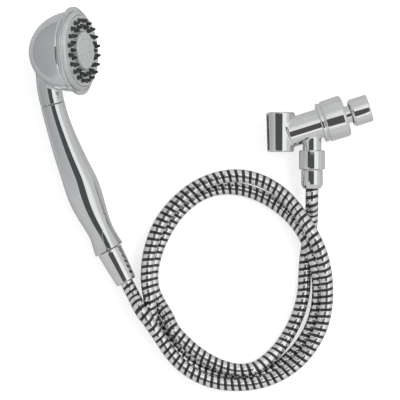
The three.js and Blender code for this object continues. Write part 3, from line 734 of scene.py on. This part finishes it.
def build_nozzles():
    seg = 20
    prof = rounded([(0.0, 6.0), (2.35, 6.0), (2.35, 9.5, 0.4), (2.1, 9.95, 0.5), (1.25, 13.6, 0.4), (0.98, 14.05, 0.35), (0.5, 14.05, 0.1), (0.42, 13.2), (0.0, 13.2)], False, 3)
    V, F = [], []
    base = np.array([(x, r) for r, x in prof])
    for y, z in SPOTS:
        rows = []
        for x, r in base:
            if r < 1e-6:
                rows.append([len(V)] * seg)
                V.append((x, y, z))
            else:
                rows.append(list(range(len(V), len(V) + seg)))
                for k in range(seg):
                    a = 2 * math.pi * k / seg
                    V.append((x, y + r * math.cos(a), z + r * math.sin(a)))
        for i in range(len(rows) - 1):
            for k in range(seg):
                k2 = (k + 1) % seg
                f = []
                for v in (rows[i][k], rows[i][k2], rows[i + 1][k2], rows[i + 1][k]):
                    if v not in f:
                        f.append(v)
                if len(f) > 2:
                    F.append(f)
    sheet, sf = lathe(HEAD, rounded([(20.0, 4.7, 0.3), (35.1, 4.7, 0.3), (35.1, 6.4, 0.3), (20.0, 6.4, 0.3)], True, 2), 96)
    n = len(V)
    W = np.vstack([HEAD.world(np.array(V)), sheet])
    F += [[i + n for i in f] for f in sf]
    o = new_object("nozzle_mat_rubber", W, F, [M["nozzle"]], smooth_angle=40)
    done(o, "spray_dial", "nozzle_mat")


build_nozzles()


def build_centre():
    jets = [(12.0 * math.cos(math.radians(15 + 30 * k)), 12.0 * math.sin(math.radians(15 + 30 * k)), 0.62) for k in range(12)]
    jets += [(6.0 * math.cos(math.radians(60 * k)), 6.0 * math.sin(math.radians(60 * k)), 0.5) for k in range(6)]
    pts = rounded([(0.0, 5.5), (19.0, 5.5, 0.3), (19.0, 11.5, 1.0), (18.2, 13.1, 1.6), (15.8, 13.35, 0.8), (8.0, 13.65, 3.0), (0.0, 13.75)], False, 4)
    V, F = lathe(HEAD, pts, 120, closed=False)
    o = new_object("centre_disc_domed", V, F, [M["face"]], smooth_angle=30)
    cut_v, cut_f = [], []
    for y, z, r in jets:
        k0 = len(cut_v)
        for x, rr in ((11.8, r), (13.0, r), (14.5, r * 1.5)):
            for k in range(14):
                a = 2 * math.pi * k / 14
                cut_v.append((x, y + rr * math.cos(a), z + rr * math.sin(a)))
        for i in range(2):
            for k in range(14):
                k2 = (k + 1) % 14
                cut_f.append((k0 + i * 14 + k, k0 + i * 14 + k2, k0 + (i + 1) * 14 + k2, k0 + (i + 1) * 14 + k))
        cut_f.append(tuple(k0 + k for k in range(14)))
        cut_f.append(tuple(k0 + 28 + k for k in range(14)))
    c = new_object("jet_cutter", HEAD.world(np.array(cut_v)), cut_f, [M["nozzle"]], smooth_angle=30)
    mod = o.modifiers.new("jets", "BOOLEAN")
    mod.operation = "DIFFERENCE"
    mod.solver = "EXACT"
    mod.object = c
    dg = bpy.context.evaluated_depsgraph_get()
    me = bpy.data.meshes.new_from_object(o.evaluated_get(dg))
    o.modifiers.clear()
    o.data = me
    bpy.data.objects.remove(c)
    mark_sharp(me, 30)
    done(o, "spray_dial", "centre_disc")


build_centre()

# ---------------------------------------------------------------- bracket
SET = Frame(SHIFT * MM, (1, 0, 0), (0, 1, 0))
dx, dy = math.cos(math.radians(17.5)), math.sin(math.radians(17.5))
BR = np.array([107.0, 72.6, 22.0])
BD = np.array([dx, dy, 0.0])
st, ct = math.sin(math.radians(9)), math.cos(math.radians(9))
SLOT_ROT = np.c_[(ct, 0, -st), (0, 1, 0), (st, 0, ct)]


def bracket_field(p):
    tube = cyl(p, BR - 20 * BD, BR + 19.4 * BD, 14.6, 1.2)
    wide = np.interp(p[:, 1], [48.3, 88.0], [13.8, 14.75])
    soft = np.interp(p[:, 1], [62.0, 76.0], [0.8, 1.9])
    x1, y1 = np.hypot(p[:, 0] - 80, p[:, 2] - 22) - (wide - soft), np.abs(p[:, 1] - 68.15) - (19.85 - soft)
    cradle = np.minimum(np.maximum(x1, y1), 0) + np.hypot(np.maximum(x1, 0), np.maximum(y1, 0)) - soft
    stub = np.minimum(cyl(p, (112, 36.4, 22), (112, 47.4, 22), 10.05, 0.7), cyl(p, (112, 40, 22), (112, 68, 22), 9.3, 0.3))
    d = join(join(tube, cradle, 2.2), stub, 1.6)
    rho = np.hypot(p[:, 0] - 80, p[:, 2] - 22)
    bore = (rho - np.interp(p[:, 1], [46.3, 90], [10.7, 11.8]))
    bore = np.maximum(bore, np.maximum(46 - p[:, 1], p[:, 1] - 92))
    q = np.array([80, 68, 22.0]) + SLOT_ROT @ np.array([-15.0, 0, 0])
    gap = box_d(p, q, (15.0, 30.0, 6.25), SLOT_ROT)
    d = cut(d, np.minimum(bore, gap), 1.4)
    d = np.maximum(d, -cyl(p, BR - 4 * BD, BR + 25 * BD, 9.5))
    d = np.maximum(d, -cyl(p, (112, 30, 22), (112, 72, 22), 6.2))
    return d


field_piece("bracket_casting", SET, bracket_field, (62, 33, 4), (130, 96, 40), 0.62,
            M["chrome"], "bracket", "bracket_body")

revolve("collar_nut_turned", TUBE, [
    (15.0, 13.7), (18.4, 13.7, 0.3), (19.8, 14.2, 1.2), (19.8, 16.9, 1.2), (18.95, 17.5, 0.4), (18.95, 18.3, 0.4), (20.7, 19.2, 1.1), (21.2, 37.6, 1.4),
    (20.2, 39.8, 1.4), (18.8, 40.5, 0.5), (12.9, 40.5, 0.3), (12.5, 38.3, 0.3), (13.9, 36.3), (16.9, 36.3), (16.9, 20.3), (15.0, 20.3)],
    M["chrome"], "bracket", "collar_nut", n=6, seg=128)

B0 = 30.0
ball = [(13 * math.cos(math.radians(a)), B0 + 13 * math.sin(math.radians(a))) for a in np.linspace(-52, 47, 26)]
revolve("ball_stem_turned", TUBE, [(5.4, ball[0][1])] + ball + [(8.5, B0 + 10.9, 1.6), (8.4, B0 + 17.6, 0.6), (10.6, B0 + 18.4, 0.2), (10.6, B0 + 20.4, 0.2), (5.4, B0 + 20.4)],
        M["chrome"], "ball_stem", "ball_stem", n=5)
N0 = B0 + 15.2
revolve("arm_nut_turned", TUBE, [
    (8.95, N0 + 0.05), (10.6, N0 + 0.05, 0.5), (13.1, N0 + 1.4, 2.0), (13.95, N0 + 3.4, 1.5), (13.95, N0 + 19.4, 1.2), (13.0, N0 + 20.4, 0.5),
    (11.7, N0 + 20.45, 0.3), (11.0, N0 + 19.7)] + [
    (11.0 + (0.42 if k % 2 else 0.0), N0 + 19.0 - 0.9 * k, 0.1) for k in range(17)] + [(11.0, N0 + 2.95), (8.95, N0 + 2.95)],
    M["chrome"], "arm_nut", "arm_nut", n=5, seg=112)
revolve("arm_washer_ring", TUBE, [(6.0, 50.8, 0.3), (10.6, 50.8, 0.3), (10.6, 52.8, 0.5), (6.0, 52.8, 0.5)],
        M["rubber"], "arm_nut", "arm_washer")
mesh = [(0, 0, 10.4)]
for i in range(-6, 7):
    for j in range(-7, 8):
        y, z = (i + 0.5 * (j % 2)) * 1.7, j * 1.7 * 0.866
        if math.hypot(y, z) < 9.0:
            mesh.append((y, z, 0.55))
flat_plate("filter_screen_disc", TUBE, mesh, 53.2, 54.0, 0.12, M["steel"], "arm_nut", "filter_screen")

revolve("hose_nut_bracket_turned", OUT, [
    (8.0, 30.3), (12.2, 30.3, 0.5), (13.05, 31.1, 0.9), (13.05, 48.7, 1.1), (12.1, 49.6, 0.5), (10.5, 49.6, 0.2), (10.5, 32.6), (8.0, 32.6)],
    M["chrome"], "bracket", "hose_nut_bracket", n=5)
revolve("hose_sleeve_bracket_turned", OUT, [
    (7.1, 11.3), (8.4, 11.3, 0.4), (10.85, 15.4, 1.6), (10.85, 29.2, 0.7), (10.3, 30.05, 0.25), (7.9, 29.7), (7.9, 26.6), (7.1, 26.6)],
    M["chrome"], "hose", "hose_sleeve_bracket", n=5)

# ---------------------------------------------------------------- CAD nodes carried over
FINISH = {"plated_plastic": "plated", "chrome_metal": "chrome", "pale_grey_plastic": "face", "dark_rubber": "nozzle",
          "black_rubber": "rubber", "white_plastic": "white", "brass": "brass", "steel": "steel", "striped_hose": "rubber"}
CARRIED = {"hose_inner_tube": "black_rubber", "hose_stem_handle": "brass", "hose_stem_bracket": "brass",
           "handle_water_tube": "white_plastic", "neck_o_ring": "black_rubber", "handle_thread_end": "brass",
           "flow_restrictor": "white_plastic", "diverter_plate": "white_plastic", "dial_hub_screw": "steel",
           "hose_washer_handle": "black_rubber", "dial_seal": "black_rubber", "ball_washer": "black_rubber",
           "hose_washer_bracket": "black_rubber", "ball_cup": "white_plastic"}
for name, finish in CARRIED.items():
    node = frame["nodes"][name]
    node.data.materials.clear()
    node.data.materials.append(M[FINISH[finish]])
    mark = node.data

# ---------------------------------------------------------------- floor, light, camera
FLOOR_SEEN, FLOOR_NEAR, FLOOR_FAR = 0.62, 0.14, 0.10
fm = bpy.data.materials.new("table_white")
fm.use_nodes = True
nt = fm.node_tree
nt.nodes.clear()
out_n = nt.nodes.new("ShaderNodeOutputMaterial")
dif = nt.nodes.new("ShaderNodeBsdfDiffuse")
emi = nt.nodes.new("ShaderNodeEmission")
emi.inputs["Color"].default_value = (1, 1, 1, 1)
lp = nt.nodes.new("ShaderNodeLightPath")
# the sheet is brighter to the camera than in the mirrors, where it also falls off past the set
pos = nt.nodes.new("ShaderNodeNewGeometry")
far = nt.nodes.new("ShaderNodeVectorMath")
far.operation = "LENGTH"
nt.links.new(pos.outputs["Position"], far.inputs[0])
fall = nt.nodes.new("ShaderNodeMapRange")
fall.interpolation_type = "SMOOTHSTEP"
for n_, v in (("From Min", 0.20), ("From Max", 0.75), ("To Min", FLOOR_NEAR), ("To Max", FLOOR_FAR)):
    fall.inputs[n_].default_value = v
nt.links.new(far.outputs["Value"], fall.inputs["Value"])
pick = nt.nodes.new("ShaderNodeMix")
pick.data_type = "FLOAT"
nt.links.new(lp.outputs["Is Camera Ray"], pick.inputs[0])
nt.links.new(fall.outputs["Result"], pick.inputs[2])
pick.inputs[3].default_value = FLOOR_SEEN
nt.links.new(pick.outputs[0], emi.inputs["Strength"])
tone = nt.nodes.new("ShaderNodeMix")
tone.data_type = "RGBA"
nt.links.new(lp.outputs["Is Camera Ray"], tone.inputs[0])
tone.inputs[6].default_value = (0.46, 0.465, 0.47, 1)
tone.inputs[7].default_value = (0.80, 0.80, 0.80, 1)
nt.links.new(tone.outputs[2], dif.inputs["Color"])
both = nt.nodes.new("ShaderNodeAddShader")
nt.links.new(dif.outputs[0], both.inputs[0])
nt.links.new(emi.outputs[0], both.inputs[1])
clear = nt.nodes.new("ShaderNodeBsdfTransparent")
mx = nt.nodes.new("ShaderNodeMixShader")
nt.links.new(pos.outputs["Backfacing"], mx.inputs[0])
nt.links.new(both.outputs[0], mx.inputs[1])
nt.links.new(clear.outputs[0], mx.inputs[2])
nt.links.new(mx.outputs[0], out_n.inputs["Surface"])
me = bpy.data.meshes.new("table")
me.from_pydata([(-3, -3, -0.0002), (3, -3, -0.0002), (3, 3, -0.0002), (-3, 3, -0.0002)], [], [(0, 1, 2, 3)])
me.materials.append(fm)
floor = bpy.data.objects.new("table", me)
bpy.context.scene.collection.objects.link(floor)

# The set lies on the table at rest. When a part swings below that level the table sinks to the
# lowest point, so it never hides anything: its height is the least of a few marks on the bodies.
drive = floor.driver_add("location", 2).driver
drive.type = "MIN"
rng = np.random.default_rng(7)
ways = rng.normal(size=(22, 3))
ways /= np.linalg.norm(ways, axis=1)[:, None]
marks = [(None, Vector((0, 0, 0)))]
for body in frame["bodies"]:
    if body in ("root", "hose"):
        continue
    pts = []
    for ob in frame["bodies"][body].children:
        if ob.type == "MESH" and not ob.hide_render:
            co = np.empty(len(ob.data.vertices) * 3)
            ob.data.vertices.foreach_get("co", co)
            pts.append(co.reshape(-1, 3))
    pts = np.vstack(pts)
    for i in sorted(set(int(np.argmax(pts @ d_)) for d_ in ways)):
        marks.append((frame["bodies"][body], Vector(pts[i])))
for k, (holder, at_) in enumerate(marks):
    e = bpy.data.objects.new("mark_%03d" % k, None)
    bpy.context.scene.collection.objects.link(e)
    e.parent = holder
    e.location = at_
    e.empty_display_size = 0.002
    var = drive.variables.new()
    var.name = "m%03d" % k
    var.type = "TRANSFORMS"
    var.targets[0].id = e
    var.targets[0].transform_type = "LOC_Z"
    var.targets[0].transform_space = "WORLD_SPACE"

w = bpy.data.worlds.new("tent")
bpy.context.scene.world = w
w.use_nodes = True
nt = w.node_tree
nt.nodes.clear()
o_w = nt.nodes.new("ShaderNodeOutputWorld")
bg = nt.nodes.new("ShaderNodeBackground")
tc = nt.nodes.new("ShaderNodeTexCoord")
sep = nt.nodes.new("ShaderNodeSeparateXYZ")
nt.links.new(tc.outputs["Generated"], sep.inputs[0])


def ranged(src, a, b, lo, hi, kind="SMOOTHSTEP"):
    r = nt.nodes.new("ShaderNodeMapRange")
    r.interpolation_type = kind
    for n_, v in (("From Min", a), ("From Max", b), ("To Min", lo), ("To Max", hi)):
        r.inputs[n_].default_value = v
    nt.links.new(src, r.inputs["Value"])
    return r.outputs["Result"]




def toward(x_deg, y_deg):
    """Cosine of the angle between the ray and a direction this many degrees from straight up."""
    d = Vector((math.tan(math.radians(x_deg)), math.tan(math.radians(y_deg)), 1)).normalized()
    v = nt.nodes.new("ShaderNodeVectorMath")
    v.operation = "DOT_PRODUCT"
    nt.links.new(tc.outputs["Generated"], v.inputs[0])
    v.inputs[1].default_value = d
    return v.outputs["Value"]


def maths(op, a, b):
    m = nt.nodes.new("ShaderNodeMath")
    m.operation = op
    for i, v in enumerate((a, b)):
        if isinstance(v, float):
            m.inputs[i].default_value = v
        else:
            nt.links.new(v, m.inputs[i])
    return m.outputs[0]


def cosd(a):
    return math.cos(math.radians(a))


walls = ranged(sep.outputs["X"], -0.6, 0.6, 0.60, 0.63)
halo = ranged(toward(12, -5), cosd(52), cosd(30), 0.0, 1.0)
gain = ranged(sep.outputs["X"], -0.5, 0.25, 0.10, 0.36)
bright = maths("ADD", walls, maths("MULTIPLY", halo, gain))
u = maths("DIVIDE", sep.outputs["X"], maths("MAXIMUM", sep.outputs["Z"], 0.05))
v = maths("DIVIDE", sep.outputs["Y"], maths("MAXIMUM", sep.outputs["Z"], 0.05))


def inside(w_, c_, h_, soft):
    d_ = maths("ABSOLUTE", maths("SUBTRACT", w_, c_), 0.0)
    return ranged(d_, h_ + soft, h_ - soft, 0.0, 1.0)


lens = maths("MULTIPLY", inside(u, -0.05, 0.38, 0.05), inside(v, -0.30, 0.40, 0.05))
mixv = nt.nodes.new("ShaderNodeMix")
mixv.data_type = "FLOAT"
nt.links.new(lens, mixv.inputs[0])
nt.links.new(bright, mixv.inputs[2])
mixv.inputs[3].default_value = 0.085
low = ranged(sep.outputs["Z"], -0.02, 0.02, 0.60, 0.0, "LINEAR")
add = nt.nodes.new("ShaderNodeMath")
add.operation = "MAXIMUM"
nt.links.new(mixv.outputs[0], add.inputs[0])
nt.links.new(low, add.inputs[1])
lp = nt.nodes.new("ShaderNodeLightPath")
cam_mix = nt.nodes.new("ShaderNodeMix")
cam_mix.data_type = "FLOAT"
nt.links.new(lp.outputs["Is Camera Ray"], cam_mix.inputs[0])
nt.links.new(add.outputs[0], cam_mix.inputs[2])
cam_mix.inputs[3].default_value = 1.0
nt.links.new(cam_mix.outputs[0], bg.inputs["Strength"])
bg.inputs["Color"].default_value = (1, 1, 1, 1)
nt.links.new(bg.outputs[0], o_w.inputs["Surface"])

sun_d = bpy.data.lights.new("soft_key", "SUN")
sun_d.energy = 1.1
sun_d.angle = math.radians(38)
sun = bpy.data.objects.new("soft_key", sun_d)
bpy.context.scene.collection.objects.link(sun)
sun.rotation_euler = Vector((0.75, 0.35, 1.0)).to_track_quat("Z", "Y").to_euler()
sun.visible_glossy = False

# a grey wall beyond the left of the frame, seen only in the mirrors
cm = bpy.data.materials.new("grey_wall")
cm.use_nodes = True
ct_ = cm.node_tree
ct_.nodes.clear()
co_, ce_ = ct_.nodes.new("ShaderNodeOutputMaterial"), ct_.nodes.new("ShaderNodeEmission")
ce_.inputs["Color"].default_value = (0.97, 0.99, 1.0, 1)
cg_, cs_, cr_ = ct_.nodes.new("ShaderNodeNewGeometry"), ct_.nodes.new("ShaderNodeSeparateXYZ"), ct_.nodes.new("ShaderNodeMapRange")
ct_.links.new(cg_.outputs["Position"], cs_.inputs[0])
ct_.links.new(cs_.outputs["Z"], cr_.inputs["Value"])
for n_, v_ in (("From Min", 0.02), ("From Max", 0.30), ("To Min", 0.42), ("To Max", 0.56)):
    cr_.inputs[n_].default_value = v_
cy_, cx_ = ct_.nodes.new("ShaderNodeMapRange"), ct_.nodes.new("ShaderNodeMix")
cy_.interpolation_type = "SMOOTHSTEP"
ct_.links.new(cs_.outputs["Y"], cy_.inputs["Value"])
for n_, v_ in (("From Min", -0.06), ("From Max", 0.07), ("To Min", 0.0), ("To Max", 1.0)):
    cy_.inputs[n_].default_value = v_
cx_.data_type = "FLOAT"
ct_.links.new(cy_.outputs["Result"], cx_.inputs[0])
cx_.inputs[2].default_value = 0.60
ct_.links.new(cr_.outputs["Result"], cx_.inputs[3])
ct_.links.new(cx_.outputs[0], ce_.inputs["Strength"])
ct_.links.new(ce_.outputs[0], co_.inputs["Surface"])
cme = bpy.data.meshes.new("wall_left")
cme.from_pydata([(-0.236, -0.05, 0.0), (-0.236, 0.40, 0.0), (-0.236, 0.40, 0.34), (-0.236, -0.05, 0.34)], [], [(0, 1, 2, 3)])
cme.materials.append(cm)
wall = bpy.data.objects.new("wall_left", cme)
bpy.context.scene.collection.objects.link(wall)
for flag in ("visible_camera", "visible_diffuse", "visible_shadow", "visible_transmission"):
    setattr(wall, flag, False)

# a dark panel over the handle, which carries its long dark reflection on up to the neck
pm = bpy.data.materials.new("dark_panel")
pm.use_nodes = True
pt_ = pm.node_tree
pt_.nodes.clear()
po_, pe_ = pt_.nodes.new("ShaderNodeOutputMaterial"), pt_.nodes.new("ShaderNodeEmission")
pe_.inputs["Strength"].default_value = 0.085
pt_.links.new(pe_.outputs[0], po_.inputs["Surface"])
pme = bpy.data.meshes.new("panel_over")
pme.from_pydata([(-0.230, 0.005, 0.40), (0.0, 0.005, 0.40), (0.0, 0.225, 0.40), (-0.230, 0.225, 0.40)], [], [(0, 1, 2, 3)])
pme.materials.append(pm)
panel = bpy.data.objects.new("panel_over", pme)
bpy.context.scene.collection.objects.link(panel)
for flag in ("visible_camera", "visible_diffuse", "visible_shadow", "visible_transmission"):
    setattr(panel, flag, False)

cam_d = bpy.data.cameras.new("camera")
cam = bpy.data.objects.new("camera", cam_d)
bpy.context.scene.collection.objects.link(cam)
D = 3.0
cam_d.sensor_width = 36
cam_d.lens = 36 * D / 0.400
cam_d.clip_end = 20
target = Vector((SHIFT[0] * MM, SHIFT[1] * MM, 0.020))
cam.location = target + Vector((0, 0, D))
cam.rotation_euler = (0, 0, 0)
bpy.context.scene.camera = cam
sc = bpy.context.scene
sc.view_settings.view_transform = "Standard"
sc.view_settings.look = "None"
